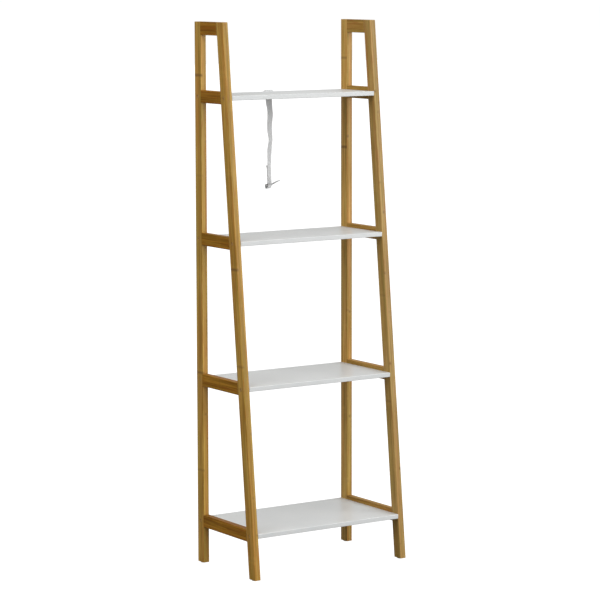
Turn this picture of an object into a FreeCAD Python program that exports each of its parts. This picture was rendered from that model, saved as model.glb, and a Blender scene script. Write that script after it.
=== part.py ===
import FreeCAD, Part
import math
import os

# A four-tier ladder shelf: two bamboo side frames, four white panels between them, and a
# webbing strap behind the top panel that ties the shelf to a wall.
# Frame: +Z up, +X to the right seen from the front, +Y towards the wall. The origin is on
# the floor, under the middle of the side frames. All sizes are in millimetres.

# Driving dimensions of the whole shelf
HEIGHT = 1450.0
WIDTH = 485.0
FLOOR_DEPTH = 287.0
TOP_DEPTH = 138.0

# Bamboo stock: legs and rails have the same thickness along X
STOCK = 18.0
LEG_DEPTH = 30.0
RAIL_HEIGHT = 33.0
TOP_RAIL_HEIGHT = 35.0
LEG_EDGE = 2.2
RAIL_EDGE = 1.8
TOP_EDGE = 1.0

# Panels
SHELF_THICKNESS = 12.0
SHELF_TOPS = [122.0, 505.0, 883.0, 1260.0]
SHELF_EDGE = 1.4

# Connecting bolts through the legs into barrel nuts in the panels
BOLT_RADIUS = 3.0
BOLT_HOLE_RADIUS = 3.3
BOLT_LENGTH = 45.0
HEAD_RADIUS = 4.7
HEAD_HEIGHT = 2.6
HEAD_ROUNDING = 1.1
HEAD_RECESS_RADIUS = 5.0
HEAD_RECESS_DEPTH = 2.8
SOCKET_RADIUS = 2.3
SOCKET_DEPTH = 1.5
NUT_INSET = 24.0
NUT_RADIUS = 5.0
NUT_HOLE_RADIUS = 5.1
NUT_LENGTH = 10.0
NUT_SLOT_WIDTH = 1.2
NUT_SLOT_DEPTH = 1.2

# Wooden dowels
DOWEL_RADIUS = 3.0
DOWEL_HOLE_RADIUS = 3.1
DOWEL_CHAMFER = 0.6
RAIL_DOWEL_LENGTH = 30.0
RAIL_DOWEL_OFFSET = 9.0
SHELF_DOWEL_LENGTH = 24.0
SHELF_DOWEL_IN_RAIL = 10.0
SHELF_DOWEL_INSET = 25.0
HOLE_END_GAP = 0.4

# Nail-in glides under the feet
GLIDE_RADIUS = 8.0
GLIDE_THICKNESS = 2.0
GLIDE_EDGE = 0.6
GLIDE_PIN_RADIUS = 1.2
GLIDE_PIN_LENGTH = 12.0
GLIDE_HOLE_RADIUS = 1.3

# Anti-tip strap: its clamp on the top panel's rear edge
STRAP_X = -10.0
WEBBING_WIDTH = 20.0
WEBBING_THICKNESS = 1.6
CLAMP_HALF_WIDTH = 16.0
CLAMP_HALF_HEIGHT = 10.5
CLAMP_CORNER_X = 6.0
CLAMP_CORNER_Z = 5.0
CLAMP_DEPTH = 3.6
CLAMP_CHANNEL_GAP = 0.2
CLAMP_SCREW_OFFSET = 13.1
CLAMP_SCREW_RADIUS = 1.5
CLAMP_SCREW_HOLE_RADIUS = 1.6
CLAMP_SCREW_LENGTH = 22.0
CLAMP_SCREW_HEAD_RADIUS = 2.6
CLAMP_SCREW_HEAD_HEIGHT = 1.6
CROSS_WIDTH = 0.8
CROSS_LENGTH = 3.0
CROSS_DEPTH = 0.9

# The free webbing: where its middle runs, and how far its face has turned there. It hangs
# from just under the clamp, keeps the folds that it was packed with, and comes down straight
# along the last run, where its stitched tail lies against it.
WEBBING_ROUTE = [
    (-10.0, 144.3, 1242.3),
    (-9.0, 139.6, 1196.0),
    (-9.1, 141.2, 1163.0),
    (-7.6, 139.4, 1129.0),
    (-9.3, 142.8, 1092.0),
    (-9.7, 143.8, 1058.0),
    (-8.8, 142.2, 1011.2),
]
WEBBING_TURNS = [0.0, 12.0, 17.0, 26.0, 26.0, 29.0, 29.0]

# The webbing's end goes on from there: through the tab's slot, round its bar, and up behind
# as the stitched tail. Corners of its middle line, in front of and above the route's end, and
# the radius at each.
LOOP_CORNERS = [
    ((0.0, 0.0), 0.0),
    ((0.0, -8.0), 6.0),
    ((-3.8, -12.6), 3.5),
    ((-8.7, -12.4), 2.8),
    ((-8.7, -1.9), 2.6),
    ((-1.7, 0.6), 1.2),
    ((-3.5, 46.5), 0.0),
]

# Wall tab on the strap's far end, drawn flat from the middle of its slot
TAB_BELOW_ROUTE = 3.5
TAB_THICKNESS = 1.5
TAB_RISE = 25.0
TAB_SLOT_HALF_LENGTH = 10.8
TAB_SLOT_HALF_WIDTH = 1.9
TAB_BAR_END = -6.0
TAB_SHOULDER = 5.5
TAB_HALF_WIDTH = 13.4
TAB_WAIST = 16.0
TAB_TIP_RADIUS = 8.0
TAB_HOLE_AT = 26.0
TAB_HOLE_RADIUS = 2.6
TAB_CORNER = 2.2

# Worked out from the sizes above
REAR_Y = FLOOR_DEPTH / 2
OUTER_X = WIDTH / 2
INNER_X = OUTER_X - STOCK
LEG_MID_X = OUTER_X - STOCK / 2
SLOPE = (FLOOR_DEPTH - TOP_DEPTH) / HEIGHT
FRONT_LEG_DEPTH = LEG_DEPTH * math.hypot(1.0, SLOPE)
SHELF_MIDS = [top - SHELF_THICKNESS / 2 for top in SHELF_TOPS]
TOP_RAIL_MID = HEIGHT - TOP_RAIL_HEIGHT / 2
SIDES = {"left": -1, "right": 1}

X_AXIS = FreeCAD.Vector(1, 0, 0)
Y_AXIS = FreeCAD.Vector(0, 1, 0)
Z_AXIS = FreeCAD.Vector(0, 0, 1)


def front_y(z):
    """The sloping front face of the side frames at height z."""
    return -REAR_Y + SLOPE * z


def front_leg_back_y(z):
    """The back face of the front legs at height z."""
    return front_y(z) + FRONT_LEG_DEPTH


def rear_leg_front_y():
    return REAR_Y - LEG_DEPTH


def cylinder(start, direction, radius, length):
    return Part.makeCylinder(radius, length, start, direction)


def both_ways_cylinder(middle, direction, radius, length):
    """A cylinder with its middle at a point."""
    start = middle - direction * (length / 2)
    return cylinder(start, direction, radius, length)


def side_prism(points, side):
    """An outline of (y, z) points made as thick as the stock, in the side frame's place."""
    low_x = INNER_X if side > 0 else -OUTER_X
    corners = [FreeCAD.Vector(low_x, y, z) for y, z in points]
    face = Part.Face(Part.makePolygon(corners + corners[:1]))
    return face.extrude(X_AXIS * STOCK)


def eased(shape, edge_length, radius):
    """The shape with all edges of at least that length rounded."""
    edges = [e for e in shape.Edges if e.Length >= edge_length]
    return shape.makeFillet(radius, edges)


def top_rounded(shape, radius):
    """The shape with the rim of its flat top rounded."""
    top = max(shape.Faces, key=lambda f: f.CenterOfMass.z)
    return shape.makeFillet(radius, top.Edges)


def cut_all(shape, tools):
    return shape.cut(tools).removeSplitter()


def group(solids):
    return Part.makeCompound(solids)


# Places that several pieces share


def leg_mid_y(place, z):
    """The middle of a leg's depth at height z."""
    if place == "rear":
        return REAR_Y - LEG_DEPTH / 2
    return front_y(z) + FRONT_LEG_DEPTH / 2


def joint_y(place, z):
    """Where a rail's end meets a leg."""
    if place == "rear":
        return rear_leg_front_y()
    return front_leg_back_y(z)


def rail_dowel_places(side, place):
    """The middles of the dowels between one leg and its five rails."""
    places = []
    for mid in SHELF_MIDS + [TOP_RAIL_MID]:
        for z in (mid - RAIL_DOWEL_OFFSET, mid + RAIL_DOWEL_OFFSET):
            places.append(FreeCAD.Vector(side * LEG_MID_X, joint_y(place, z), z))
    return places


def shelf_dowel_places(side, mid):
    """The middles of the two dowels between a rail and its panel's end."""
    out = SHELF_DOWEL_LENGTH / 2 - SHELF_DOWEL_IN_RAIL
    ends = (front_leg_back_y(mid) + SHELF_DOWEL_INSET, rear_leg_front_y() - SHELF_DOWEL_INSET)
    return [FreeCAD.Vector(side * (INNER_X - out), y, mid) for y in ends]


def bolt_places(side):
    """Where each bolt's axis meets the outer face of a side frame."""
    places = []
    for mid in SHELF_MIDS:
        for place in ("front", "rear"):
            places.append(FreeCAD.Vector(side * OUTER_X, leg_mid_y(place, mid), mid))
    return places


def rail_dowel_holes(side, place):
    length = RAIL_DOWEL_LENGTH + 2 * HOLE_END_GAP
    places = rail_dowel_places(side, place)
    return [both_ways_cylinder(p, Y_AXIS, DOWEL_HOLE_RADIUS, length) for p in places]


def shelf_dowel_holes(side, mid):
    length = SHELF_DOWEL_LENGTH + 2 * HOLE_END_GAP
    places = shelf_dowel_places(side, mid)
    return [both_ways_cylinder(p, X_AXIS, DOWEL_HOLE_RADIUS, length) for p in places]


def bolt_holes(side, place):
    """Bolt holes through a leg, each with a recess for the head."""
    inward = X_AXIS * -side
    holes = []
    for mid in SHELF_MIDS:
        outside = FreeCAD.Vector(side * OUTER_X, leg_mid_y(place, mid), mid)
        holes.append(cylinder(outside, inward, BOLT_HOLE_RADIUS, STOCK))
        holes.append(cylinder(outside, inward, HEAD_RECESS_RADIUS, HEAD_RECESS_DEPTH))
    return holes


def glide_place(side, place):
    return FreeCAD.Vector(side * LEG_MID_X, leg_mid_y(place, GLIDE_THICKNESS), GLIDE_THICKNESS)


def glide_hole(side, place):
    length = GLIDE_PIN_LENGTH + HOLE_END_GAP
    return cylinder(glide_place(side, place), Z_AXIS, GLIDE_HOLE_RADIUS, length)


# Side frames


def leg(side, place):
    """A rear leg stands upright; a front leg leans back from the floor to the top."""
    low, high = GLIDE_THICKNESS, HEIGHT
    if place == "rear":
        front, back = rear_leg_front_y(), REAR_Y
        outline = [(front, low), (back, low), (back, high), (front, high)]
    else:
        outline = [
            (front_y(low), low),
            (front_leg_back_y(low), low),
            (front_leg_back_y(high), high),
            (front_y(high), high),
        ]
    bar = eased(side_prism(outline, side), HEIGHT / 2, LEG_EDGE)
    bar = top_rounded(bar, TOP_EDGE)
    holes = bolt_holes(side, place) + rail_dowel_holes(side, place)
    return cut_all(bar, holes + [glide_hole(side, place)])


def rail_bar(side, mid, height):
    """A rail between the legs, with its front end cut to the front leg's slope."""
    low, high = mid - height / 2, mid + height / 2
    back = rear_leg_front_y()
    outline = [
        (front_leg_back_y(low), low),
        (back, low),
        (back, high),
        (front_leg_back_y(high), high),
    ]
    bar = side_prism(outline, side)
    shortest_run = back - front_leg_back_y(high)
    bar = eased(bar, shortest_run - 1.0, RAIL_EDGE)
    return cut_all(bar, rail_dowel_holes(side, "front") + rail_dowel_holes(side, "rear"))


def shelf_rail(side, mid):
    return cut_all(rail_bar(side, mid, RAIL_HEIGHT), shelf_dowel_holes(side, mid))


def top_rail(side):
    return rail_bar(side, TOP_RAIL_MID, TOP_RAIL_HEIGHT)


def dowel(middle, direction, length):
    bar = both_ways_cylinder(middle, direction, DOWEL_RADIUS, length)
    rims = [e for e in bar.Edges if isinstance(e.Curve, Part.Circle)]
    return bar.makeChamfer(DOWEL_CHAMFER, rims)


def rail_dowels(side):
    places = rail_dowel_places(side, "front") + rail_dowel_places(side, "rear")
    return group([dowel(p, Y_AXIS, RAIL_DOWEL_LENGTH) for p in places])


def shelf_dowels(side):
    places = [p for mid in SHELF_MIDS for p in shelf_dowel_places(side, mid)]
    return group([dowel(p, X_AXIS, SHELF_DOWEL_LENGTH) for p in places])


def foot_glides():
    """A low round disc under each foot, with a pin up into the leg."""
    glides = []
    for side in SIDES.values():
        for place in ("front", "rear"):
            top = glide_place(side, place)
            disc = cylinder(top, -Z_AXIS, GLIDE_RADIUS, GLIDE_THICKNESS)
            disc = disc.makeFillet(GLIDE_EDGE, min(disc.Faces, key=lambda f: f.CenterOfMass.z).Edges)
            pin = cylinder(top, Z_AXIS, GLIDE_PIN_RADIUS, GLIDE_PIN_LENGTH)
            glides.append(disc.fuse(pin).removeSplitter())
    return group(glides)


# Bolts and nuts


def hexagon_prism(start, direction, radius, length):
    """A hexagon in the YZ plane, stretched along X."""
    turns = [math.radians(60 * i) for i in range(6)]
    corners = [start + FreeCAD.Vector(0, radius * math.cos(a), radius * math.sin(a)) for a in turns]
    face = Part.Face(Part.makePolygon(corners + corners[:1]))
    return face.extrude(direction * length)


def bolt(outside, side):
    """A button-head bolt with a hexagon socket, its head in the leg's recess."""
    inward = X_AXIS * -side
    seat = outside + inward * HEAD_RECESS_DEPTH
    top = seat - inward * HEAD_HEIGHT
    head = cylinder(top, inward, HEAD_RADIUS, HEAD_HEIGHT)
    crown = max(head.Faces, key=lambda f: side * f.CenterOfMass.x)
    head = head.makeFillet(HEAD_ROUNDING, crown.Edges)
    shank = cylinder(seat, inward, BOLT_RADIUS, BOLT_LENGTH)
    socket = hexagon_prism(top, inward, SOCKET_RADIUS, SOCKET_DEPTH)
    return cut_all(head.fuse(shank), [socket])


def shelf_bolts(side):
    return group([bolt(p, side) for p in bolt_places(side)])


def nut_middle(outside, side):
    return FreeCAD.Vector(side * (INNER_X - NUT_INSET), outside.y, outside.z)


def barrel_nut(middle):
    """An upright barrel with a cross bore for the bolt and a slot to turn it by."""
    barrel = both_ways_cylinder(middle, Z_AXIS, NUT_RADIUS, NUT_LENGTH)
    bore = both_ways_cylinder(middle, X_AXIS, DOWEL_HOLE_RADIUS, 3 * NUT_RADIUS)
    low = middle - FreeCAD.Vector(1.5 * NUT_RADIUS, NUT_SLOT_WIDTH / 2, NUT_LENGTH / 2)
    slot = Part.makeBox(3 * NUT_RADIUS, NUT_SLOT_WIDTH, NUT_SLOT_DEPTH, low)
    return cut_all(barrel, [bore, slot])


def barrel_nuts(side):
    return group([barrel_nut(nut_middle(p, side)) for p in bolt_places(side)])


# Panels


def shelf(mid):
    """A panel between the side frames, from their sloping front to their back."""
    front = front_y(mid)
    low = FreeCAD.Vector(-INNER_X, front, mid - SHELF_THICKNESS / 2)
    panel = Part.makeBox(2 * INNER_X, REAR_Y - front, SHELF_THICKNESS, low)
    long_edges = [e for e in panel.Edges if abs(e.Length - 2 * INNER_X) < 0.01]
    panel = panel.makeFillet(SHELF_EDGE, long_edges)
    holes = []
    for side in SIDES.values():
        inward = X_AXIS * -side
        holes += shelf_dowel_holes(side, mid)
        for outside in bolt_places(side):
            if abs(outside.z - mid) < 0.01:
                hole_start = outside + inward * STOCK
                hole_length = HEAD_RECESS_DEPTH + BOLT_LENGTH + 1.0 - STOCK
                holes.append(cylinder(hole_start, inward, BOLT_HOLE_RADIUS, hole_length))
                nut_hole_low = nut_middle(outside, side) - Z_AXIS * (SHELF_THICKNESS / 2)
                nut_hole_depth = SHELF_THICKNESS / 2 + NUT_LENGTH / 2 + 0.1
                holes.append(cylinder(nut_hole_low, Z_AXIS, NUT_HOLE_RADIUS, nut_hole_depth))
    if mid == SHELF_MIDS[-1]:
        holes += clamp_screw_holes()
    return cut_all(panel, holes)


# Strap clamp on the top panel's rear edge


def clamp_screw_places():
    """Where the two clamp screws' axes meet the panel's rear edge."""
    xs = (STRAP_X - CLAMP_SCREW_OFFSET, STRAP_X + CLAMP_SCREW_OFFSET)
    return [FreeCAD.Vector(x, REAR_Y, SHELF_MIDS[-1]) for x in xs]


def clamp_screw_holes():
    """Pilot holes in the panel and clearance holes in the clamp, on the same axes."""
    inside = CLAMP_SCREW_LENGTH - CLAMP_DEPTH + HOLE_END_GAP
    length = inside + CLAMP_DEPTH
    outer = Y_AXIS * CLAMP_DEPTH
    radius = CLAMP_SCREW_HOLE_RADIUS
    return [cylinder(p + outer, -Y_AXIS, radius, length) for p in clamp_screw_places()]


def strap_clamp():
    """An eight-cornered plate that bridges the webbing and holds it to the panel's edge."""
    mid = SHELF_MIDS[-1]
    wide, high = CLAMP_HALF_WIDTH, CLAMP_HALF_HEIGHT
    narrow, low = wide - CLAMP_CORNER_X, high - CLAMP_CORNER_Z
    corners = [
        (-narrow, high),
        (narrow, high),
        (wide, low),
        (wide, -low),
        (narrow, -high),
        (-narrow, -high),
        (-wide, -low),
        (-wide, low),
    ]
    points = [FreeCAD.Vector(STRAP_X + x, REAR_Y, mid + z) for x, z in corners]
    plate = Part.Face(Part.makePolygon(points + points[:1])).extrude(Y_AXIS * CLAMP_DEPTH)
    back = max(plate.Faces, key=lambda f: f.CenterOfMass.y)
    plate = plate.makeFillet(0.8, back.Edges)
    half = WEBBING_WIDTH / 2 + CLAMP_CHANNEL_GAP
    corner = FreeCAD.Vector(STRAP_X - half, REAR_Y, mid - 2 * high)
    channel = Part.makeBox(2 * half, WEBBING_THICKNESS, 4 * high, corner)
    return cut_all(plate, [channel] + clamp_screw_holes())


def cross_recess(centre):
    """The two slots of a cross-head screw, open towards +Y."""
    slots = []
    for along_x, along_z in ((CROSS_LENGTH, CROSS_WIDTH), (CROSS_WIDTH, CROSS_LENGTH)):
        low = centre - FreeCAD.Vector(along_x / 2, CROSS_DEPTH, along_z / 2)
        slots.append(Part.makeBox(along_x, CROSS_DEPTH, along_z, low))
    return slots


def clamp_screw(place):
    seat = place + Y_AXIS * CLAMP_DEPTH
    top = seat + Y_AXIS * CLAMP_SCREW_HEAD_HEIGHT
    head = cylinder(seat, Y_AXIS, CLAMP_SCREW_HEAD_RADIUS, CLAMP_SCREW_HEAD_HEIGHT)
    crown = max(head.Faces, key=lambda f: f.CenterOfMass.y)
    head = head.makeFillet(CLAMP_SCREW_HEAD_HEIGHT / 2, crown.Edges)
    shank = cylinder(seat, -Y_AXIS, CLAMP_SCREW_RADIUS, CLAMP_SCREW_LENGTH)
    return cut_all(head.fuse(shank), cross_recess(top))


def strap_screws():
    return group([clamp_screw(p) for p in clamp_screw_places()])


def strap_clamped_end():
    """The piece of webbing that lies between the clamp and the panel's edge."""
    mid = SHELF_MIDS[-1]
    corner = FreeCAD.Vector(STRAP_X - WEBBING_WIDTH / 2, REAR_Y, mid - CLAMP_HALF_HEIGHT)
    return Part.makeBox(WEBBING_WIDTH, WEBBING_THICKNESS, 2 * CLAMP_HALF_HEIGHT, corner)


# Free webbing


def webbing_section(point, turn):
    """The webbing's level cross-section, its face turned from the rear by that many degrees."""
    a = math.radians(turn)
    along = FreeCAD.Vector(math.cos(a), math.sin(a), 0) * (WEBBING_WIDTH / 2)
    across = FreeCAD.Vector(-math.sin(a), math.cos(a), 0) * (WEBBING_THICKNESS / 2)
    middle = FreeCAD.Vector(*point)
    corners = [middle - along - across, middle + along - across]
    corners += [middle + along + across, middle - along + across]
    return Part.makePolygon(corners + corners[:1])


def strap_webbing():
    sections = [webbing_section(p, t) for p, t in zip(WEBBING_ROUTE, WEBBING_TURNS)]
    return Part.makeLoft(sections, True, True)


def end_directions():
    """At the strap's end: the way the webbing's width runs, and the way its face looks."""
    turn = math.radians(WEBBING_TURNS[-1])
    wide = FreeCAD.Vector(math.cos(turn), math.sin(turn), 0)
    return wide, FreeCAD.Vector(math.sin(turn), -math.cos(turn), 0)


def loop_side(offset):
    """One side of the looped webbing's outline: straight runs and tangent arcs, as edges and
    end points. The offset is to the left of the way that the line runs."""
    points = [FreeCAD.Vector(x, y, 0) for (x, y), _ in LOOP_CORNERS]
    radii = [radius for _, radius in LOOP_CORNERS]
    ways = [(b - a).normalize() for a, b in zip(points, points[1:])]
    lefts = [FreeCAD.Vector(-way.y, way.x, 0) for way in ways]
    edges = []
    here = start = points[0] + lefts[0] * offset
    for i in range(1, len(points) - 1):
        before, after = ways[i - 1], ways[i]
        turn = before.getAngle(after)
        reach = radii[i] * math.tan(turn / 2)
        into = points[i] - before * reach + lefts[i - 1] * offset
        out_of = points[i] + after * reach + lefts[i] * offset
        inward = (after - before).normalize()
        centre = points[i] + inward * (radii[i] / math.cos(turn / 2))
        side = 1 if before.cross(after).z > 0 else -1
        middle = centre - inward * (radii[i] - side * offset)
        edges.append(Part.LineSegment(here, into).toShape())
        edges.append(Part.Arc(into, middle, out_of).toShape())
        here = out_of
    end = points[-1] + lefts[-1] * offset
    edges.append(Part.LineSegment(here, end).toShape())
    return edges, start, end


def strap_end_loop():
    """The webbing's end, bent round the tab's bar and laid back along the free run."""
    left_edges, left_start, left_end = loop_side(WEBBING_THICKNESS / 2)
    right_edges, right_start, right_end = loop_side(-WEBBING_THICKNESS / 2)
    ends = [
        Part.LineSegment(left_start, right_start).toShape(),
        Part.LineSegment(left_end, right_end).toShape(),
    ]
    outline = Part.Wire(Part.__sortEdges__(left_edges + right_edges + ends))
    band = Part.Face(outline).extrude(Z_AXIS * WEBBING_WIDTH)
    band.translate(Z_AXIS * (-WEBBING_WIDTH / 2))
    wide, front = end_directions()
    turn = FreeCAD.Rotation(front, Z_AXIS, wide * -1)
    place = FreeCAD.Placement(FreeCAD.Vector(*WEBBING_ROUTE[-1]), turn)
    band.Placement = place.multiply(band.Placement)
    return band


def print_webbing():
    """Prints the route's length and bends, and the volume against section times length."""
    points = [FreeCAD.Vector(*p) for p in WEBBING_ROUTE]
    runs = [b - a for a, b in zip(points, points[1:])]
    length = sum(r.Length for r in runs)
    for before, after in zip(runs[:-1], runs[1:-1]):
        half_turn = before.getAngle(after) / 2
        radius = 0.45 * min(before.Length, after.Length) / math.tan(half_turn)
        print(f"webbing turns {math.degrees(2 * half_turn):.1f} degrees, radius {radius:.0f} mm")
    section = WEBBING_WIDTH * WEBBING_THICKNESS
    print(f"webbing length {length:.1f} mm, volume {strap_webbing().Volume:.0f}, "
          f"section times length {section * length:.0f} mm3")


# Wall tab on the strap's far end


def tab_placement():
    """Turns the flat tab to its place: its width with the webbing's, its length forward and up."""
    rise = math.radians(TAB_RISE)
    wide, forward = end_directions()
    long = forward * math.cos(rise) + Z_AXIS * math.sin(rise)
    place = FreeCAD.Vector(*WEBBING_ROUTE[-1]) - Z_AXIS * TAB_BELOW_ROUTE
    return FreeCAD.Placement(place, FreeCAD.Rotation(wide, long, wide.cross(long)))


def wall_tab():
    """A flat tab: a slot bar that the webbing loops round, and a rounded tip with a screw hole."""
    tip = TAB_HOLE_AT
    right = [
        (TAB_HALF_WIDTH, TAB_BAR_END),
        (TAB_HALF_WIDTH, TAB_SHOULDER),
        (TAB_TIP_RADIUS, TAB_WAIST),
        (TAB_TIP_RADIUS, tip),
    ]
    left = [(-x, y) for x, y in reversed(right)]
    right_points = [FreeCAD.Vector(x, y, 0) for x, y in right]
    left_points = [FreeCAD.Vector(x, y, 0) for x, y in left]
    tip_point = FreeCAD.Vector(0, tip + TAB_TIP_RADIUS, 0)
    edges = [Part.LineSegment(a, b).toShape() for a, b in zip(right_points, right_points[1:])]
    edges.append(Part.Arc(right_points[-1], tip_point, left_points[0]).toShape())
    edges += [Part.LineSegment(a, b).toShape() for a, b in zip(left_points, left_points[1:])]
    edges.append(Part.LineSegment(left_points[-1], right_points[0]).toShape())
    plate = Part.Face(Part.Wire(edges)).extrude(Z_AXIS * TAB_THICKNESS)
    corners = [
        e
        for e in plate.Edges
        if abs(e.Length - TAB_THICKNESS) < 1e-6 and abs(e.CenterOfMass.x) > TAB_TIP_RADIUS + 1
    ]
    plate = plate.makeFillet(TAB_CORNER, corners)
    slot_low = FreeCAD.Vector(-TAB_SLOT_HALF_LENGTH, -TAB_SLOT_HALF_WIDTH, 0)
    slot = Part.makeBox(2 * TAB_SLOT_HALF_LENGTH, 2 * TAB_SLOT_HALF_WIDTH, TAB_THICKNESS, slot_low)
    hole = cylinder(FreeCAD.Vector(0, TAB_HOLE_AT, 0), Z_AXIS, TAB_HOLE_RADIUS, TAB_THICKNESS)
    plate = cut_all(plate, [slot, hole])
    plate.translate(Z_AXIS * (-TAB_THICKNESS / 2))
    plate.Placement = tab_placement().multiply(plate.Placement)
    return plate


def all_nodes():
    nodes = {}
    for name, side in SIDES.items():
        nodes[f"{name}_rear_leg"] = leg(side, "rear")
        nodes[f"{name}_front_leg"] = leg(side, "front")
        nodes[f"{name}_top_rail"] = top_rail(side)
        for tier, mid in enumerate(SHELF_MIDS, start=1):
            nodes[f"{name}_rail_{tier}"] = shelf_rail(side, mid)
        nodes[f"{name}_rail_dowels"] = rail_dowels(side)
        nodes[f"{name}_shelf_dowels"] = shelf_dowels(side)
        nodes[f"{name}_shelf_bolts"] = shelf_bolts(side)
        nodes[f"{name}_barrel_nuts"] = barrel_nuts(side)
    for tier, mid in enumerate(SHELF_MIDS, start=1):
        nodes[f"shelf_{tier}"] = shelf(mid)
    nodes["foot_glides"] = foot_glides()
    nodes["strap_clamp"] = strap_clamp()
    nodes["strap_screws"] = strap_screws()
    nodes["strap_clamped_end"] = strap_clamped_end()
    nodes["strap_webbing"] = strap_webbing()
    nodes["strap_end_loop"] = strap_end_loop()
    nodes["wall_tab"] = wall_tab()
    return nodes


os.makedirs("parts", exist_ok=True)
for node, shape in all_nodes().items():
    if not shape.isValid():
        raise ValueError(f"{node} isn't a valid shape")
    shape.exportStep(f"parts/{node}.step")
    box = shape.BoundBox
    print(f"{node}: {len(shape.Solids)} solids, "
          f"x {box.XMin:.1f}..{box.XMax:.1f}, y {box.YMin:.1f}..{box.YMax:.1f}, "
          f"z {box.ZMin:.1f}..{box.ZMax:.1f}, volume {shape.Volume:.0f}")
print_webbing()
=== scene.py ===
import math

import bpy
import numpy as np
from mathutils import Matrix, Vector

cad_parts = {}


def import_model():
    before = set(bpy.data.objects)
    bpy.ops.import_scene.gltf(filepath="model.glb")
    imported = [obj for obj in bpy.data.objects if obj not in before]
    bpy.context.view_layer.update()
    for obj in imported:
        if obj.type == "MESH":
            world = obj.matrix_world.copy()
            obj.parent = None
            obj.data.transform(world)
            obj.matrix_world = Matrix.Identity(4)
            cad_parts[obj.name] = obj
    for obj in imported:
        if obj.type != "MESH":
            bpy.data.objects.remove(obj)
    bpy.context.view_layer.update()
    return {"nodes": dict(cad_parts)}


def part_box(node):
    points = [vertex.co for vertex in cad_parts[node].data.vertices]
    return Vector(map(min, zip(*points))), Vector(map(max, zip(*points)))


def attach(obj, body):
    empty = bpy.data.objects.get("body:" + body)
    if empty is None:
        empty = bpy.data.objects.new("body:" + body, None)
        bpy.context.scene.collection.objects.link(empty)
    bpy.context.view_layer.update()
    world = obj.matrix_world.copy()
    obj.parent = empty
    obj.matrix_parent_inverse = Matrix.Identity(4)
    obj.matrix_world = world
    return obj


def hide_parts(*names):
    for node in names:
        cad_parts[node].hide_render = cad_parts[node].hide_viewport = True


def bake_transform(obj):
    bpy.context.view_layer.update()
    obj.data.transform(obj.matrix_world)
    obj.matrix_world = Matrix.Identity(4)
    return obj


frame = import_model()

MM = 0.001

# ---------------------------------------------------------------------------------------
# Places taken from the frame

rear_low, rear_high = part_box("left_rear_leg")
front_low, front_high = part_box("left_front_leg")
_, right_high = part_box("right_rear_leg")
_, clamped_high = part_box("strap_clamped_end")

STOCK = rear_high.x - rear_low.x
LEG_DEPTH = rear_high.y - rear_low.y
REAR_Y = rear_high.y
OUTER_X = right_high.x
# How far the front legs lean back for each metre of height
LEAN = (front_high.y - front_low.y - LEG_DEPTH) / (front_high.z - front_low.z)

# The free webbing, as in the CAD route, with more of the folds that it was packed with: where
# its middle runs, and how far it has turned
WEBBING_ROUTE = [
    (-0.0100, 0.1443, 1.2423),
    (-0.0097, 0.1424, 1.2260),
    (-0.0086, 0.1386, 1.2060),
    (-0.0088, 0.1388, 1.1900),
    (-0.0092, 0.1413, 1.1720),
    (-0.0090, 0.1410, 1.1500),
    (-0.0072, 0.1382, 1.1300),
    (-0.0086, 0.1413, 1.1140),
    (-0.0093, 0.1428, 1.0920),
    (-0.0092, 0.1427, 1.0680),
    (-0.0100, 0.1442, 1.0560),
    (-0.0090, 0.1425, 1.0330),
    (-0.0088, 0.1422, 1.0112),
]
WEBBING_TURN_AT = [
    (1.2423, 0.0),
    (1.2330, 1.5),
    (1.2230, 7.0),
    (1.2120, 13.0),
    (1.1960, 10.0),
    (1.1880, 14.0),
    (1.1640, 17.5),
    (1.1480, 21.0),
    (1.1330, 27.0),
    (1.1200, 27.0),
    (1.1040, 21.5),
    (1.0880, 26.0),
    (1.0680, 30.0),
    (1.0580, 29.0),
    (1.0112, 29.0),
]
# The webbing's end, through the tab's slot, round its bar and back up behind: in front of and
# above the free run's end, in millimetres
LOOP_ROUTE = [
    (0.0, 0.0),
    (0.0, -2.2),
    (0.1, -4.6),
    (-0.2, -7.6),
    (-1.6, -10.6),
    (-4.4, -12.9),
    (-7.6, -12.7),
    (-9.0, -9.6),
    (-9.0, -6.4),
    (-9.0, -3.2),
    (-7.8, -1.2),
    (-5.0, -0.8),
    (-2.4, -0.2),
    (-1.7, 2.2),
    (-1.8, 5.0),
    (-2.1, 14.0),
    (-2.5, 24.0),
    (-2.9, 34.0),
    (-3.2, 42.0),
    (-4.2, 46.0),
    (-5.6, 49.5),
]
WEBBING_WIDTH = 20 * MM
WEBBING_THICKNESS = 1.6 * MM
# The weave: the pitch of the ribs along the webbing and of the rows across it
RIB_PITCH = 1.3 * MM
ROW_PITCH = 1.7 * MM
RIB_HEIGHT = 0.09 * MM


# ---------------------------------------------------------------------------------------
# Small helpers for node materials


def rgba(value):
    """A three-part colour with its alpha, or the value as it is."""
    if isinstance(value, tuple) and len(value) == 3:
        return (*value, 1.0)
    return value


def scaled(tone, by):
    """A colour with each of its channels multiplied."""
    return tuple(channel * factor for channel, factor in zip(tone, by))


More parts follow.
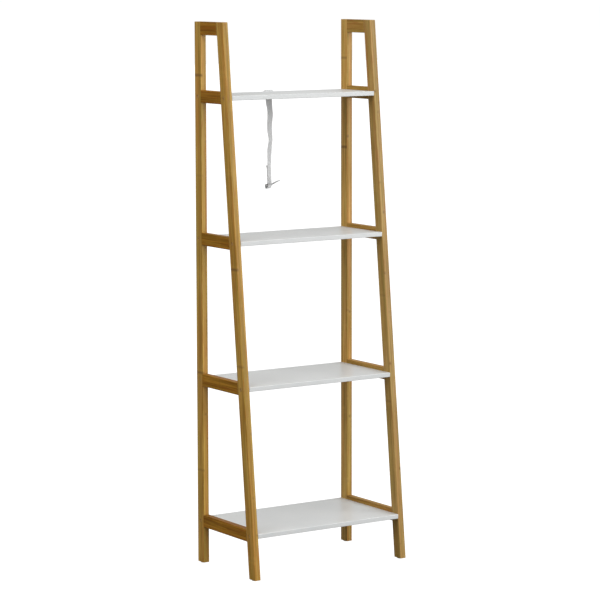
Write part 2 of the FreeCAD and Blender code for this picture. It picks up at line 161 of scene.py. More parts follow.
class Nodes:
    """Builds a material's node tree with short calls."""

    def __init__(self, name):
        self.material = bpy.data.materials.new(name)
        self.material.use_nodes = True
        self.tree = self.material.node_tree
        self.tree.nodes.clear()
        self.output = self.tree.nodes.new("ShaderNodeOutputMaterial")
        self.shader = self.tree.nodes.new("ShaderNodeBsdfPrincipled")
        self.tree.links.new(self.shader.outputs[0], self.output.inputs[0])

    def add(self, kind, **settings):
        node = self.tree.nodes.new(kind)
        for key, value in settings.items():
            setattr(node, key, value)
        return node

    def put(self, socket, value):
        """Links a socket to another, or sets its number."""
        if isinstance(value, bpy.types.NodeSocket):
            self.tree.links.new(value, socket)
        else:
            socket.default_value = value

    def math(self, operation, *values):
        node = self.add("ShaderNodeMath", operation=operation)
        for socket, value in zip(node.inputs, values):
            self.put(socket, value)
        return node.outputs[0]

    def plus(self, first, *others):
        for other in others:
            first = self.math("ADD", first, other)
        return first

    def minus(self, a, b):
        return self.math("SUBTRACT", a, b)

    def times(self, a, b):
        return self.math("MULTIPLY", a, b)

    def over(self, a, b):
        return self.math("DIVIDE", a, b)

    def absolute(self, a):
        return self.math("ABSOLUTE", a)

    def floor(self, a):
        return self.math("FLOOR", a)

    def ramp(self, value, low, high, to_low=0.0, to_high=1.0):
        """Maps low..high smoothly onto to_low..to_high, held at both ends."""
        node = self.add("ShaderNodeMapRange", interpolation_type="SMOOTHSTEP", clamp=True)
        for socket, number in zip(node.inputs, (value, low, high, to_low, to_high)):
            self.put(socket, number)
        return node.outputs[0]

    def mix(self, factor, a, b):
        """Colour a, with b over it by the factor."""
        node = self.add("ShaderNodeMix", data_type="RGBA")
        self.put(node.inputs[0], factor)
        self.put(node.inputs[6], rgba(a))
        self.put(node.inputs[7], rgba(b))
        return node.outputs[2]

    def xyz(self, x, y, z):
        node = self.add("ShaderNodeCombineXYZ")
        for socket, value in zip(node.inputs, (x, y, z)):
            self.put(socket, value)
        return node.outputs[0]

    def stretched(self, place, by):
        """The vector of a place's parts, each multiplied."""
        return self.xyz(*(self.times(part, factor) for part, factor in zip(place, by)))

    def noise(self, vector, scale=1.0, detail=2.0, rough=0.5):
        node = self.add("ShaderNodeTexNoise")
        self.put(node.inputs["Vector"], vector)
        self.put(node.inputs["Scale"], scale)
        self.put(node.inputs["Detail"], detail)
        self.put(node.inputs["Roughness"], rough)
        return node.outputs["Fac"]

    def white(self, vector):
        node = self.add("ShaderNodeTexWhiteNoise", noise_dimensions="3D")
        self.put(node.inputs["Vector"], vector)
        return node.outputs["Value"]

    def parts_of(self, vector):
        node = self.add("ShaderNodeSeparateXYZ")
        self.put(node.inputs[0], vector)
        return tuple(node.outputs)

    def position(self):
        return self.parts_of(self.add("ShaderNodeTexCoord").outputs["Object"])

    def normal(self):
        return self.parts_of(self.add("ShaderNodeTexCoord").outputs["Normal"])

    def bump(self, height, distance, strength):
        node = self.add("ShaderNodeBump")
        self.put(node.inputs["Height"], height)
        node.inputs["Distance"].default_value = distance
        node.inputs["Strength"].default_value = strength
        self.tree.links.new(node.outputs[0], self.shader.inputs["Normal"])

    def set(self, **values):
        """Sets the shader's sockets; names have _ for spaces."""
        for key, value in values.items():
            self.put(self.shader.inputs[key.replace("_", " ")], value)


# ---------------------------------------------------------------------------------------
# Bamboo

# A bar is three strips thick, and a leg is two wide. Strips are counted inward from the outer
# face, a little clear of it, so that no glue line lies in a face
STRIP_THICKNESS = STOCK / 3
STRIP_WIDTH = LEG_DEPTH / 2
FACE_CLEARANCE = 0.2 * MM
GLUE_LINE = 0.18 * MM
# Numbers that keep the right frame's strips and each bar's strips apart in the random draws
RIGHT_STRIPS_FROM = 40
STRIPS_PER_BAR = 10
BAR_SPACING = 150 * MM

# Knuckles come every 235 to 295 mm, and each lamination's are shifted by a step from the last's
KNUCKLE_SPACING = 235 * MM
KNUCKLE_SPREAD = 60 * MM
KNUCKLE_STEP = 87 * MM
# Each knuckle's stretch of the bar starts this far before it, and the count of them starts this
# many below knuckle_at, so that it stays above zero
KNUCKLE_MARGIN = 100 * MM
KNUCKLES_BELOW = 12.0
# A higher rarity makes strong knuckles fewer, and rails show theirs at a share of the strength
KNUCKLE_RARITY = 2.2
RAIL_KNUCKLES = 0.30
# Their lines waver
RIPPLE_SIZE = 6 * MM
RIPPLE_HEIGHT = 3 * MM

KNUCKLE_BAND_TONE = (0.17, 0.065, 0.010)
KNUCKLE_LINE_TONE = (0.11, 0.050, 0.012)
GLUE_TONE = (0.13, 0.07, 0.02)
END_DARK = (0.16, 0.085, 0.03)
END_LIGHT = (0.48, 0.31, 0.12)
END_DOTS_PER_METRE = 1100.0
WORN_TONE = (0.62, 0.42, 0.17)
# What a bar's own tones are multiplied by where they drift to another hue
OLIVE = (0.80, 1.02, 1.0)
ORANGE = (1.10, 0.80, 0.85)
RUSSET = (0.88, 0.58, 0.60)
DEEP = (0.80, 0.72, 0.8)


class Bar:
    """Where a point lies in a laminated bamboo bar. along is the bar's axis, z or y, and lean
    is how far it leans back for each metre of height."""

    def __init__(self, n, along, lean):
        self.n = n
        self.upright = along == "z"
        self.place = n.position()
        self.x, y, z = self.place
        self.outer_normal, ny, nz = n.normal()
        if self.upright:
            self.depth, self.length = n.minus(y, n.times(z, lean)), z
            self.side_normal, self.end_normal = ny, nz
            from_face = n.minus(REAR_Y, n.absolute(self.depth))
        else:
            self.depth, self.length = z, y
            self.side_normal, self.end_normal = nz, ny
            from_face = self.depth
        inset = n.minus(OUTER_X, n.absolute(self.x))
        self.layers = n.over(n.plus(inset, FACE_CLEARANCE), STRIP_THICKNESS)
        self.widths = n.over(n.plus(from_face, FACE_CLEARANCE), STRIP_WIDTH)
        on_right = n.math("GREATER_THAN", self.x, 0.0)
        self.layer = n.plus(n.floor(self.layers), n.times(on_right, RIGHT_STRIPS_FROM))
        self.number = n.floor(n.over(self.depth, BAR_SPACING))
        strip = n.plus(n.floor(self.widths), n.times(self.number, STRIPS_PER_BAR))
        self.tone = n.white(n.xyz(self.layer, strip, 0.5))

    def streaks(self, across, run, detail, shift=0):
        """Noise stretched along the bar, which starts afresh in each strip."""
        n = self.n
        along = n.plus(n.over(self.length, run), n.times(self.tone, 40 + shift))
        return n.noise(n.xyz(n.over(self.x, across), n.over(self.depth, across), along), 1.0, detail, 0.55)

    def knuckles(self, knuckle_at, named_strength):
        """Soft dark bands across a strip's whole width, few of them strong. Gives their bands,
        the fine lines in the middle and the paler halos. The one at knuckle_at on the left
        frame's outermost lamination has at least the named strength."""
        n = self.n
        spread = n.times(n.white(n.xyz(self.layer, self.number, 2.5)), KNUCKLE_SPREAD)
        spacing = n.plus(spread, KNUCKLE_SPACING)
        ripple = n.noise(n.xyz(n.over(self.x, RIPPLE_SIZE), n.over(self.depth, RIPPLE_SIZE), self.tone))
        place = n.plus(
            self.length,
            n.times(ripple, RIPPLE_HEIGHT),
            n.times(self.layer, KNUCKLE_STEP),
            n.times(spacing, KNUCKLES_BELOW),
        )
        place = n.plus(n.minus(place, knuckle_at), KNUCKLE_MARGIN)
        gap = n.absolute(n.minus(n.math("MODULO", place, spacing), KNUCKLE_MARGIN))
        which = n.floor(n.over(place, spacing))
        drawn = n.math("POWER", n.white(n.xyz(which, self.layer, self.number)), KNUCKLE_RARITY)
        outermost_left = n.math("LESS_THAN", self.layer, 0.5)
        named = n.times(outermost_left, n.math("COMPARE", which, KNUCKLES_BELOW, 0.5))
        strength = n.math("MAXIMUM", drawn, n.times(named, named_strength))
        if not self.upright:
            strength = n.times(strength, RAIL_KNUCKLES)
        line_level = n.ramp(strength, 0.0, 0.8, 0.05, 0.36)
        line = n.times(n.ramp(gap, 0.3 * MM, 1.6 * MM, 1.0, 0.0), line_level)
        band = n.times(n.ramp(gap, 1.0 * MM, 7.0 * MM, 1.0, 0.0), n.times(strength, 0.62))
        halo = n.ramp(gap, 5 * MM, 14 * MM, 1.0, 0.0)
        return band, line, halo

    def glue(self):
        """The thin lines between strips."""
        n = self.n
        seams = []
        for cells, size in ((self.layers, STRIP_THICKNESS), (self.widths, STRIP_WIDTH)):
            cell = n.math("FRACT", cells)
            edge = n.math("MINIMUM", cell, n.minus(1.0, cell))
            seams.append(n.ramp(edge, 0.0, GLUE_LINE / size, 1.0, 0.0))
        return n.math("MAXIMUM", *seams)

    def end_grain(self):
        """Dots of fibre bundles, and where the bar's cut ends are."""
        n = self.n
        dots = n.add("ShaderNodeTexVoronoi", feature="F1")
        n.put(dots.inputs["Vector"], n.xyz(self.x, self.depth, n.times(self.length, 0.02)))
        dots.inputs["Scale"].default_value = END_DOTS_PER_METRE
        colour = n.mix(n.ramp(dots.outputs["Distance"], 0.15, 0.45), END_DARK, END_LIGHT)
        return colour, n.ramp(n.absolute(self.end_normal), 0.75, 0.92)


def bamboo(
    name,
    along,
    dark,
    light,
    brown,
    lean=0.0,
    gloss_level=0.38,
    lift=1.0,
    knuckle_at=0.03,
    named_strength=0.85,
):
    """Laminated bamboo under a satin varnish. lift makes a paler board, brown a browner one, and
    gloss_level is how strongly the varnish shines."""
    n = Nodes(name)
    bar = Bar(n, along, lean)
    dark, light = (scaled(tone, (lift, lift, lift)) for tone in (dark, light))
    middle = tuple(0.5 * (d + l) for d, l in zip(dark, light))
    fibre = bar.streaks(0.45 * MM, 38 * MM, 3.0)
    streak = bar.streaks(2.6 * MM, 130 * MM, 2.0, 11)
    broad = bar.streaks(6.5 * MM, 210 * MM, 1.0, 17)
    drift = bar.streaks(11 * MM, 340 * MM, 2.0, 23)
    mottle = bar.streaks(4.5 * MM, 55 * MM, 1.0, 31)
    band, line, halo = bar.knuckles(knuckle_at, named_strength)

    # The strips' own tones show most on the faces that their edges make up
    weight = n.plus(0.12, n.times(n.absolute(bar.side_normal), 0.34))
    level = n.times(n.minus(bar.tone, 0.5), weight)
    for share, part in ((0.85, streak), (0.60, broad), (0.34, fibre)):
        level = n.plus(level, n.times(n.minus(part, 0.5), share))
    colour = n.mix(n.ramp(level, -0.25, 0.25), dark, light)

    # Slow drifts of hue along the bar
    olive = n.mix(0.40, colour, scaled(middle, OLIVE))
    orange = n.mix(0.55, colour, scaled(middle, ORANGE))
    colour = n.mix(n.ramp(drift, 0.36, 0.50), olive, colour)
    colour = n.mix(n.times(n.ramp(drift, 0.52, 0.64), 0.85), colour, orange)
    browned = n.ramp(n.white(n.xyz(bar.number, 3.5, bar.layer)), 0.3, 1.0)
    colour = n.mix(n.times(browned, brown), colour, scaled(dark, DEEP))
    colour = n.mix(n.times(n.ramp(mottle, 0.58, 0.72), 0.60), colour, scaled(middle, RUSSET))

    # Knuckles, glue lines and end grain
    colour = n.mix(n.times(halo, 0.15), colour, light)
    colour = n.mix(band, colour, KNUCKLE_BAND_TONE)
    colour = n.mix(line, colour, KNUCKLE_LINE_TONE)
    glue = bar.glue()
    colour = n.mix(n.times(glue, 0.35), colour, GLUE_TONE)
    end_colour, end = bar.end_grain()
    colour = n.mix(end, colour, end_colour)

    # Handling wear: the varnish is rubbed a little paler on scattered patches of the edges
    rub = n.noise(n.stretched(bar.place, (25, 25, 25)), 1.0, 4.0)
    diagonal = n.times(n.absolute(bar.outer_normal), n.absolute(bar.side_normal))
    worn = n.times(n.ramp(diagonal, 0.15, 0.45), n.ramp(rub, 0.50, 0.68))
    colour = n.mix(n.times(worn, 0.30), colour, WORN_TONE)

    gloss = n.plus(0.32, n.times(fibre, 0.14), n.times(n.ramp(rub, 0.35, 0.65), 0.06), n.times(end, 0.18))
    n.set(Base_Color=colour, Roughness=gloss, Specular_IOR_Level=gloss_level)
    height = n.minus(n.plus(n.times(fibre, 0.6), n.times(line, 0.8)), n.times(glue, 0.7))
    n.bump(height, 0.12 * MM, 0.55)
    return n.material


# ---------------------------------------------------------------------------------------
# The other materials


def white_panel():
    """Satin white lacquer on fibreboard: faint orange peel, soft grey marks, rubbed arrises."""
    n = Nodes("white_panel")
    x, y, z = n.position()
    place = n.xyz(x, y, z)
    peel = n.noise(place, 900.0, 2.0)
    soft = n.noise(place, 7.0, 3.0)
    marks = n.noise(n.xyz(x, n.times(y, 6.0), z), 30.0, 5.0, 0.6)
    colour = n.mix(n.ramp(soft, 0.35, 0.65), (0.792, 0.812, 0.808), (0.826, 0.842, 0.836))
    colour = n.mix(n.times(n.ramp(marks, 0.62, 0.75), 0.16), colour, (0.64, 0.63, 0.61))
    _, ny, nz = n.normal()
    arris = n.ramp(n.times(n.absolute(ny), n.absolute(nz)), 0.2, 0.45)
    worn = n.times(arris, n.ramp(n.noise(place, 55.0, 4.0), 0.56, 0.70))
    colour = n.mix(n.times(worn, 0.35), colour, (0.62, 0.58, 0.52))
    gloss = n.plus(0.30, n.times(n.ramp(soft, 0.3, 0.7), 0.07))
    gloss = n.plus(gloss, n.times(n.ramp(marks, 0.55, 0.75), 0.08))
    n.set(Base_Color=colour, Roughness=gloss, Specular_IOR_Level=0.45)
    n.bump(peel, 0.03 * MM, 0.35)
    return n.material


def metal(name, base, dull, worn_to, roughness, metallic=1.0):
    """Plated steel with fine turning marks and small dull spots."""
    n = Nodes(name)
    place = n.xyz(*n.position())
    spots = n.noise(place, 420.0, 4.0)
    fine = n.noise(place, 2600.0, 2.0)
    colour = n.mix(n.ramp(spots, 0.45, 0.65), base, dull)
    colour = n.mix(n.times(n.ramp(fine, 0.60, 0.72), 0.4), colour, worn_to)
    gloss = n.plus(roughness, n.times(spots, 0.16))
    n.set(Base_Color=colour, Metallic=metallic, Roughness=gloss)
    n.bump(fine, 0.02 * MM, 0.3)
    return n.material


def moulded(name, base, shade, roughness):
    """Moulded nylon with a fine eroded texture."""
    n = Nodes(name)
    place = n.xyz(*n.position())
    soft = n.noise(place, 60.0, 3.0)
    grain = n.noise(place, 2400.0, 2.0)
    colour = n.mix(n.ramp(soft, 0.35, 0.65), base, shade)
    gloss = n.plus(roughness, n.times(grain, 0.12))
    n.set(Base_Color=colour, Roughness=gloss, Specular_IOR_Level=0.4)
    n.bump(grain, 0.03 * MM, 0.4)
    return n.material


def beech():
    """Dowel wood: pale, with short flecks along the grain."""
    n = Nodes("beech_dowel")
    fleck = n.noise(n.stretched(n.position(), (900, 120, 900)), 1.0, 3.0)
    colour = n.mix(n.ramp(fleck, 0.35, 0.65), (0.58, 0.40, 0.23), (0.74, 0.56, 0.37))
    n.set(Base_Color=colour, Roughness=0.62)
    n.bump(fleck, 0.05 * MM, 0.5)
    return n.material


def webbing_material(name, thread, shade):
    """Plain woven webbing, with painted shade in the hollows of its weave. The weave is in the mesh's uv:
    u runs along it in metres, v across.
    """
    n = Nodes(name)
    uv = n.add("ShaderNodeUVMap", uv_map="weave")
    u, v, _ = n.parts_of(uv.outputs[0])
    ribs = n.math("SINE", n.times(u, 2 * math.pi / RIB_PITCH))
    rows = n.math("SINE", n.times(v, 2 * math.pi / ROW_PITCH))
    weave = n.times(ribs, rows)
    fuzz = n.noise(n.xyz(n.times(u, 1500), n.times(v, 4200), 0.0), 1.0, 3.0)
    soil = n.noise(n.xyz(n.times(u, 40), n.times(v, 90), 3.0), 1.0, 3.0)
    # Painted shade: the weave's hollows take the darker grey, and random fuzz darkens some fibres towards
    # it too
    colour = n.mix(n.ramp(weave, -0.8, 0.8), shade, thread)
    colour = n.mix(n.times(n.ramp(fuzz, 0.45, 0.7), 0.35), colour, shade)
    colour = n.mix(n.times(n.ramp(soil, 0.5, 0.75), 0.18), colour, (0.55, 0.54, 0.52))
    n.set(Base_Color=colour, Roughness=0.82, Specular_IOR_Level=0.25)
    n.set(Sheen_Weight=0.25, Sheen_Roughness=0.45)
    n.bump(n.plus(weave, fuzz), 0.08 * MM, 0.6)
    return n.material


# ---------------------------------------------------------------------------------------
# CAD nodes get their materials


def dress(node, material):
    obj = frame["nodes"][node]
    obj.data.materials.clear()
    obj.data.materials.append(material)


# The right frame's bamboo is a little paler and greyer than the left's
LEG_TONES = {
    "left": {"dark": (0.350, 0.170, 0.010), "light": (0.690, 0.420, 0.080), "brown": 0.25},
    "right": {"dark": (0.345, 0.180, 0.020), "light": (0.665, 0.425, 0.124), "brown": 0.06},
}
RAIL_TONES = {
    "left": {"dark": (0.228, 0.087, 0.004), "light": (0.500, 0.240, 0.026), "brown": 0.35},
    "right": {"dark": (0.300, 0.148, 0.024), "light": (0.580, 0.340, 0.084), "brown": 0.20},
}
# Each leg comes from its own board: how light it is, and how far up its knuckles are shifted.
# On the left, the one at that height on the outer face is named, and has its own strength
BOARDS = {
    "left_rear": {"lift": 0.98, "knuckle_at": 1.311},
    "left_front": {"lift": 1.04, "knuckle_at": 0.56, "named_strength": 0.2},
    "right_rear": {"lift": 1.24, "knuckle_at": 0.71},
    "right_front": {"lift": 0.89, "knuckle_at": 1.02},
}
TIERS = range(1, 5)
BAMBOO_REAR, BAMBOO_FRONT, BAMBOO_RAIL = {}, {}, {}
for side in ("left", "right"):
    tones, rear, front = LEG_TONES[side], BOARDS[f"{side}_rear"], BOARDS[f"{side}_front"]
    BAMBOO_REAR[side] = bamboo(f"bamboo_{side}_rear_leg", "z", **tones, **rear)
    BAMBOO_FRONT[side] = bamboo(f"bamboo_{side}_front_leg", "z", lean=LEAN, **tones, **front)
    rail = {"gloss_level": 0.08, "named_strength": 0.0, **RAIL_TONES[side]}
    BAMBOO_RAIL[side] = bamboo(f"bamboo_{side}_rail", "y", **rail)
PANEL = white_panel()
BRONZE = metal("bronzed_steel", (0.58, 0.34, 0.11), (0.46, 0.26, 0.08), (0.68, 0.45, 0.18), 0.45, 0.25)
ZINC = metal("zinc_steel", (0.62, 0.63, 0.65), (0.45, 0.46, 0.48), (0.78, 0.78, 0.78), 0.28)
NYLON = moulded("white_nylon", (0.76, 0.77, 0.78), (0.70, 0.71, 0.72), 0.42)
GLIDE = moulded("glide_nylon", (0.70, 0.69, 0.65), (0.60, 0.59, 0.55), 0.5)
BEECH = beech()
# The second grey is the painted shade in the weave's hollows, and also the tone of the random fuzz
WEBBING = webbing_material("webbing", (0.88, 0.89, 0.90), (0.74, 0.75, 0.76))
THREAD = moulded("stitching_thread", (0.86, 0.86, 0.85), (0.78, 0.78, 0.77), 0.6)

for side in ("left", "right"):
    dress(f"{side}_rear_leg", BAMBOO_REAR[side])
    dress(f"{side}_front_leg", BAMBOO_FRONT[side])
    dress(f"{side}_top_rail", BAMBOO_RAIL[side])
    for tier in TIERS:
        dress(f"{side}_rail_{tier}", BAMBOO_RAIL[side])
    dress(f"{side}_rail_dowels", BEECH)
    dress(f"{side}_shelf_dowels", BEECH)
    dress(f"{side}_shelf_bolts", BRONZE)
    dress(f"{side}_barrel_nuts", ZINC)
for tier in TIERS:
    dress(f"shelf_{tier}", PANEL)
dress("foot_glides", GLIDE)
dress("strap_clamp", NYLON)
dress("strap_screws", ZINC)
dress("wall_tab", NYLON)


# ---------------------------------------------------------------------------------------
# The strap


def smooth_route(name, points):
    """The points along a NURBS curve with the given control points."""
    data = bpy.data.curves.new(name, "CURVE")
    data.dimensions = "3D"
    data.resolution_u = 24
    spline = data.splines.new("NURBS")
    spline.points.add(len(points) - 1)
    for point, place in zip(spline.points, points):
        point.co = (*place, 1.0)
    spline.order_u = 3
    spline.use_endpoint_u = True
    obj = bpy.data.objects.new(name, data)
    mesh = bpy.data.meshes.new_from_object(obj)
    line = [v.co.copy() for v in mesh.vertices]
    bpy.data.objects.remove(obj)
    bpy.data.curves.remove(data)
    bpy.data.meshes.remove(mesh)
    return line


def respaced(line, step):
    """The line again with points a step apart, and how far along each one is."""
    points = np.array([p[:] for p in line])
    run = np.concatenate([[0.0], np.cumsum(np.linalg.norm(np.diff(points, axis=0), axis=1))])
    at = np.linspace(0.0, run[-1], max(2, int(round(run[-1] / step)) + 1))
    return np.stack([np.interp(at, run, points[:, k]) for k in range(3)], axis=1), at


# The webbing's mesh: how far apart its stations are, in metres, and how many steps its width
# has. Its edges thin over this share of its half width, by this share of its half thickness
STATION = 0.00032
STEPS_ACROSS = 32
SELVEDGE = 0.06
SELVEDGE_THINNING = 0.55


def webbing_mesh(name, centres, wides, fronts, run, start_run=0.0):
    """A woven band: its middle, the way its width runs and the way its front faces, at each
    station. Ribs stand up where the threads cross."""
    half_w, half_t = WEBBING_WIDTH / 2, WEBBING_THICKNESS / 2
    ring = [(-1 + 2 * i / STEPS_ACROSS, 1) for i in range(STEPS_ACROSS + 1)]
    ring += [(1 - 2 * i / STEPS_ACROSS, -1) for i in range(STEPS_ACROSS + 1)]
    verts, uvs = [], []
    for k, (c, w, f) in enumerate(zip(centres, wides, fronts)):
        u = start_run + run[k]
        for s, face in ring:
            v = s * half_w
            edge = max(0.0, abs(s) - (1 - SELVEDGE)) / SELVEDGE
            rib = math.sin(2 * math.pi * u / RIB_PITCH) * math.sin(2 * math.pi * v / ROW_PITCH)
            thinned = half_t * (1 - SELVEDGE_THINNING * edge * edge)
            lift = thinned - RIB_HEIGHT + RIB_HEIGHT * rib * (1 - edge)
            p = Vector(c) + Vector(w) * v + Vector(f) * (lift * face)
            verts.append(p)
            uvs.append((u, v))
    size = len(ring)
    faces = []
    for k in range(len(centres) - 1):
        for i in range(size):
            j = (i + 1) % size
            faces.append((k * size + i, k * size + j, (k + 1) * size + j, (k + 1) * size + i))
    faces.append(tuple(range(size)))
    last = (len(centres) - 1) * size
    faces.append(tuple(last + i for i in reversed(range(size))))
    mesh = bpy.data.meshes.new(name)
    mesh.from_pydata([p[:] for p in verts], [], faces)
    layer = mesh.uv_layers.new(name="weave")
    for loop in mesh.loops:
        layer.data[loop.index].uv = uvs[loop.vertex_index]
    mesh.polygons.foreach_set("use_smooth", [len(p.vertices) == 4 for p in mesh.polygons])
    mesh.update()
    obj = bpy.data.objects.new(name, mesh)
    bpy.context.scene.collection.objects.link(obj)
    obj.data.materials.append(WEBBING)
    return obj


def turned(degrees):
    """The webbing's width and front directions at a turn from the rear edge."""
    a = math.radians(degrees)
    return Vector((math.cos(a), math.sin(a), 0)), Vector((math.sin(a), -math.cos(a), 0))


# The turns are smoothed over this many stations
SMOOTHED_OVER = 25

route = smooth_route("strap_route", WEBBING_ROUTE)
free, _ = respaced(route, STATION)
heights, degrees = zip(*reversed(WEBBING_TURN_AT))
turn_at = np.interp(free[:, 2], heights, degrees)
kernel = np.ones(SMOOTHED_OVER) / SMOOTHED_OVER
turn_at = np.convolve(np.pad(turn_at, SMOOTHED_OVER // 2, "edge"), kernel, "valid")

# The clamped end runs straight up under the clamp from the free webbing's start
clamped_length = clamped_high.z - WEBBING_ROUTE[0][2]
steps = int(clamped_length / STATION)
start_x, start_y, _ = WEBBING_ROUTE[0]
clamped = [(start_x, start_y, clamped_high.z - i * STATION) for i in range(steps)]
band = np.concatenate([np.array(clamped), free])
band_run = np.arange(len(band)) * STATION
turns = np.concatenate([np.zeros(steps), turn_at])
wides, fronts = zip(*(turned(t) for t in turns))
webbing = webbing_mesh("anti_tip_webbing", band, wides, fronts, band_run)
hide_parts("strap_webbing", "strap_clamped_end")
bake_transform(webbing)


def end_loop():
    """The webbing's end: round the tab's slot bar and back up behind, as one bent band."""
    wide, front = turned(WEBBING_TURN_AT[-1][1])
    origin = Vector(WEBBING_ROUTE[-1])
    up = Vector((0, 0, 1))
    path = [origin + front * (a * MM) + up * (b * MM) for a, b in LOOP_ROUTE]
    line, run = respaced(smooth_route("loop_route", path), STATION)
    tangents = np.gradient(line, axis=0)
    faces = [wide.cross(Vector(t).normalized()).normalized() * -1 for t in tangents]
    obj = webbing_mesh("strap_end_loop_band", line, [wide] * len(line), faces, run, band_run[-1])
    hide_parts("strap_end_loop")
    return obj, line


# The stitching is a box 34 mm tall that starts 5 mm above the free run's end
THREAD_RADIUS = 0.3 * MM
THREAD_SIDES = 8
THREAD_RINGS = 7
STITCH_PITCH = 3.0 * MM
SEWN_HALF = 6.5 * MM
SEWN_LOW = WEBBING_ROUTE[-1][2] + 5 * MM
SEWN_HIGH = SEWN_LOW + 34 * MM


def stitch(start, end, proud, side):
    """One thread between two holes: rings of points, thickest in the middle, and how they join."""
    sides, rings = THREAD_SIDES, THREAD_RINGS
    along = (end - start).normalized()
    points = []
    for k in range(rings):
        t = -1 + 2 * k / (rings - 1)
        radius = THREAD_RADIUS * math.sqrt(max(0.02, 1 - 0.98 * t**4))
        centre = (start + end) / 2 + (end - start) * (t / 2) + proud * (THREAD_RADIUS * 0.5 * (1 - t * t))
        for i in range(sides):
            a = 2 * math.pi * i / sides
            points.append(centre + side(along) * (radius * math.cos(a)) + proud * (radius * math.sin(a)))
    joins = []
    for k in range(rings - 1):
        for i in range(sides):
            j = (i + 1) % sides
            joins.append((k * sides + i, k * sides + j, (k + 1) * sides + j, (k + 1) * sides + i))
    joins.append(tuple(reversed(range(sides))))
    joins.append(tuple((rings - 1) * sides + i for i in range(sides)))
    return points, joins


def box_stitching(tail):
    """A box with a cross, sewn through the doubled webbing, seen on its front and on the tail."""
    wide, front = turned(WEBBING_TURN_AT[-1][1])
    corners = [
        (-SEWN_HALF, SEWN_LOW),
        (SEWN_HALF, SEWN_LOW),
        (SEWN_HALF, SEWN_HIGH),
        (-SEWN_HALF, SEWN_HIGH),
    ]
    lines = [(corners[i], corners[(i + 1) % 4]) for i in range(4)]
    lines += [(corners[0], corners[2]), (corners[1], corners[3])]
    verts, faces = [], []
    for surface, proud in ((free, front), (tail, -front)):
        order = np.argsort(surface[:, 2])
        heights = surface[order, 2]

        def on_surface(across, z):
            middle = Vector([np.interp(z, heights, surface[order, k]) for k in range(2)] + [z])
            return middle + wide * across + proud * (WEBBING_THICKNESS / 2)

        for (x0, z0), (x1, z1) in lines:
            count = int(math.hypot(x1 - x0, z1 - z0) / STITCH_PITCH)
            for k in range(count):
                ends = []
                for t in ((k + 0.12) / count, (k + 0.88) / count):
                    ends.append(on_surface(x0 + (x1 - x0) * t, z0 + (z1 - z0) * t))
                points, joins = stitch(*ends, proud, lambda along: along.cross(proud).normalized())
                faces += [tuple(i + len(verts) for i in face) for face in joins]
                verts += points
    mesh = bpy.data.meshes.new("strap_stitching")
    mesh.from_pydata([v[:] for v in verts], [], faces)
    mesh.polygons.foreach_set("use_smooth", [len(p.vertices) == 4 for p in mesh.polygons])
    mesh.update()
    obj = bpy.data.objects.new("strap_stitching", mesh)
    bpy.context.scene.collection.objects.link(obj)
    obj.data.materials.append(THREAD)
    return obj


loop, loop_line = end_loop()
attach(loop, "anti_tip_strap")
tail_start = len(loop_line) // 2
stitching = box_stitching(loop_line[tail_start:])
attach(stitching, "anti_tip_strap")


# ---------------------------------------------------------------------------------------
# Stage: floor, light and camera

FLOOR_GLOW = 1.05
WORLD_BRIGHT_SIDE = (0.42, -0.65, 0.80)
WORLD_DIM = 0.16
WORLD_BRIGHT = 0.94
KEY_POWER = 45
FILL_POWER = 20.5
WHITE = (1, 1, 1, 1)
WORLD_SEEN = 1.02
FLOOR_HALF = 30.0
FLOOR_GREY = (0.22, 0.22, 0.22)

CAMERA_PLACE = (-3.8184, -5.7573, 1.6008)
CAMERA_AZIMUTH = -33.515
CAMERA_PITCH = 7.355
CAMERA_ROLL = 0.112
CAMERA_LENS = 156.47


def floor():
    """A grey floor, with a glow that makes it plain white where the camera sees it."""
    corners = [(FLOOR_HALF * i, FLOOR_HALF * j, 0) for i, j in ((-1, -1), (1, -1), (1, 1), (-1, 1))]
    mesh = bpy.data.meshes.new("floor")
    mesh.from_pydata(corners, [], [(0, 1, 2, 3)])
    obj = bpy.data.objects.new("floor", mesh)
    bpy.context.scene.collection.objects.link(obj)
    n = Nodes("floor")
    n.set(Base_Color=rgba(FLOOR_GREY), Roughness=0.9, Specular_IOR_Level=0.0)
    seen = n.add("ShaderNodeEmission")
    seen.inputs[0].default_value = WHITE
    seen.inputs[1].default_value = FLOOR_GLOW
    path = n.add("ShaderNodeLightPath")
    both = n.add("ShaderNodeAddShader")
    pick = n.add("ShaderNodeMixShader")
    n.tree.links.new(n.shader.outputs[0], both.inputs[0])
    n.tree.links.new(seen.outputs[0], both.inputs[1])
    n.tree.links.new(path.outputs["Is Camera Ray"], pick.inputs[0])
    n.tree.links.new(n.shader.outputs[0], pick.inputs[1])
    n.tree.links.new(both.outputs[0], pick.inputs[2])
    n.tree.links.new(pick.outputs[0], n.output.inputs[0])
    obj.data.materials.append(n.material)


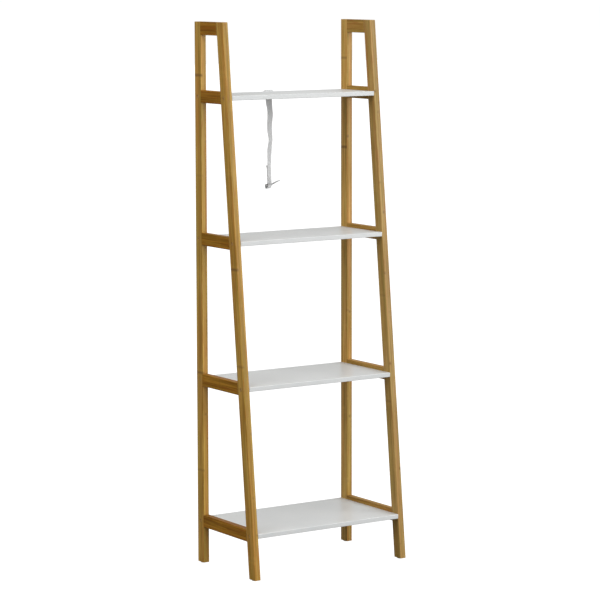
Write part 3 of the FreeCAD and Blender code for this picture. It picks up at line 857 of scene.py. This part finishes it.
def world():
    """A white surround: brightest from the front right and above, dim behind, and plain white
    where the camera sees it."""
    studio = bpy.data.worlds.new("studio")
    bpy.context.scene.world = studio
    studio.use_nodes = True
    tree = studio.node_tree
    tree.nodes.clear()
    out = tree.nodes.new("ShaderNodeOutputWorld")
    mix = tree.nodes.new("ShaderNodeMixShader")
    path = tree.nodes.new("ShaderNodeLightPath")
    light = tree.nodes.new("ShaderNodeBackground")
    picture = tree.nodes.new("ShaderNodeBackground")
    place = tree.nodes.new("ShaderNodeTexCoord")
    toward = tree.nodes.new("ShaderNodeVectorMath")
    toward.operation = "DOT_PRODUCT"
    toward.inputs[1].default_value = Vector(WORLD_BRIGHT_SIDE).normalized()
    level = tree.nodes.new("ShaderNodeMapRange")
    level.inputs[1].default_value = -1.0
    level.inputs[2].default_value = 1.0
    level.inputs[3].default_value = WORLD_DIM
    level.inputs[4].default_value = WORLD_BRIGHT
    tree.links.new(place.outputs["Generated"], toward.inputs[0])
    tree.links.new(toward.outputs["Value"], level.inputs[0])
    tree.links.new(level.outputs[0], light.inputs[1])
    light.inputs[0].default_value = WHITE
    picture.inputs[0].default_value = WHITE
    picture.inputs[1].default_value = WORLD_SEEN
    tree.links.new(path.outputs["Is Camera Ray"], mix.inputs[0])
    tree.links.new(light.outputs[0], mix.inputs[1])
    tree.links.new(picture.outputs[0], mix.inputs[2])
    tree.links.new(mix.outputs[0], out.inputs[0])


def area_light(name, place, target, width, height, power):
    """A rectangular light at a place, turned to the target."""
    data = bpy.data.lights.new(name, "AREA")
    data.shape = "RECTANGLE"
    data.size = width
    data.size_y = height
    data.energy = power
    obj = bpy.data.objects.new(name, data)
    bpy.context.scene.collection.objects.link(obj)
    obj.location = place
    obj.rotation_euler = (Vector(target) - Vector(place)).to_track_quat("-Z", "Y").to_euler()


def camera():
    """A long lens from the front left, a little above the top, tipped down by 7.4 degrees."""
    azimuth, pitch, roll = (math.radians(a) for a in (CAMERA_AZIMUTH, CAMERA_PITCH, CAMERA_ROLL))
    level = math.cos(pitch)
    ahead = Vector((-math.sin(azimuth) * level, math.cos(azimuth) * level, -math.sin(pitch)))
    right = Vector((math.cos(azimuth), math.sin(azimuth), 0))
    up = right.cross(ahead)
    right_rolled = right * math.cos(roll) - up * math.sin(roll)
    up_rolled = up * math.cos(roll) + right * math.sin(roll)
    data = bpy.data.cameras.new("camera")
    data.sensor_width = 36.0
    data.lens = CAMERA_LENS
    data.clip_end = 100
    obj = bpy.data.objects.new("camera", data)
    bpy.context.scene.collection.objects.link(obj)
    turn = Matrix((right_rolled, up_rolled, -ahead)).transposed().to_4x4()
    obj.matrix_world = Matrix.Translation(CAMERA_PLACE) @ turn
    bpy.context.scene.camera = obj


floor()
world()
area_light("key", place=(2.4, -2.9, 1.5), target=(0, 0, 0.9), width=1.8, height=2.6, power=KEY_POWER)
area_light("fill", place=(-1.9, -1.0, 3.0), target=(0, 0, 1.1), width=1.6, height=1.6, power=FILL_POWER)
camera()
bpy.context.scene.view_settings.view_transform = "Standard"
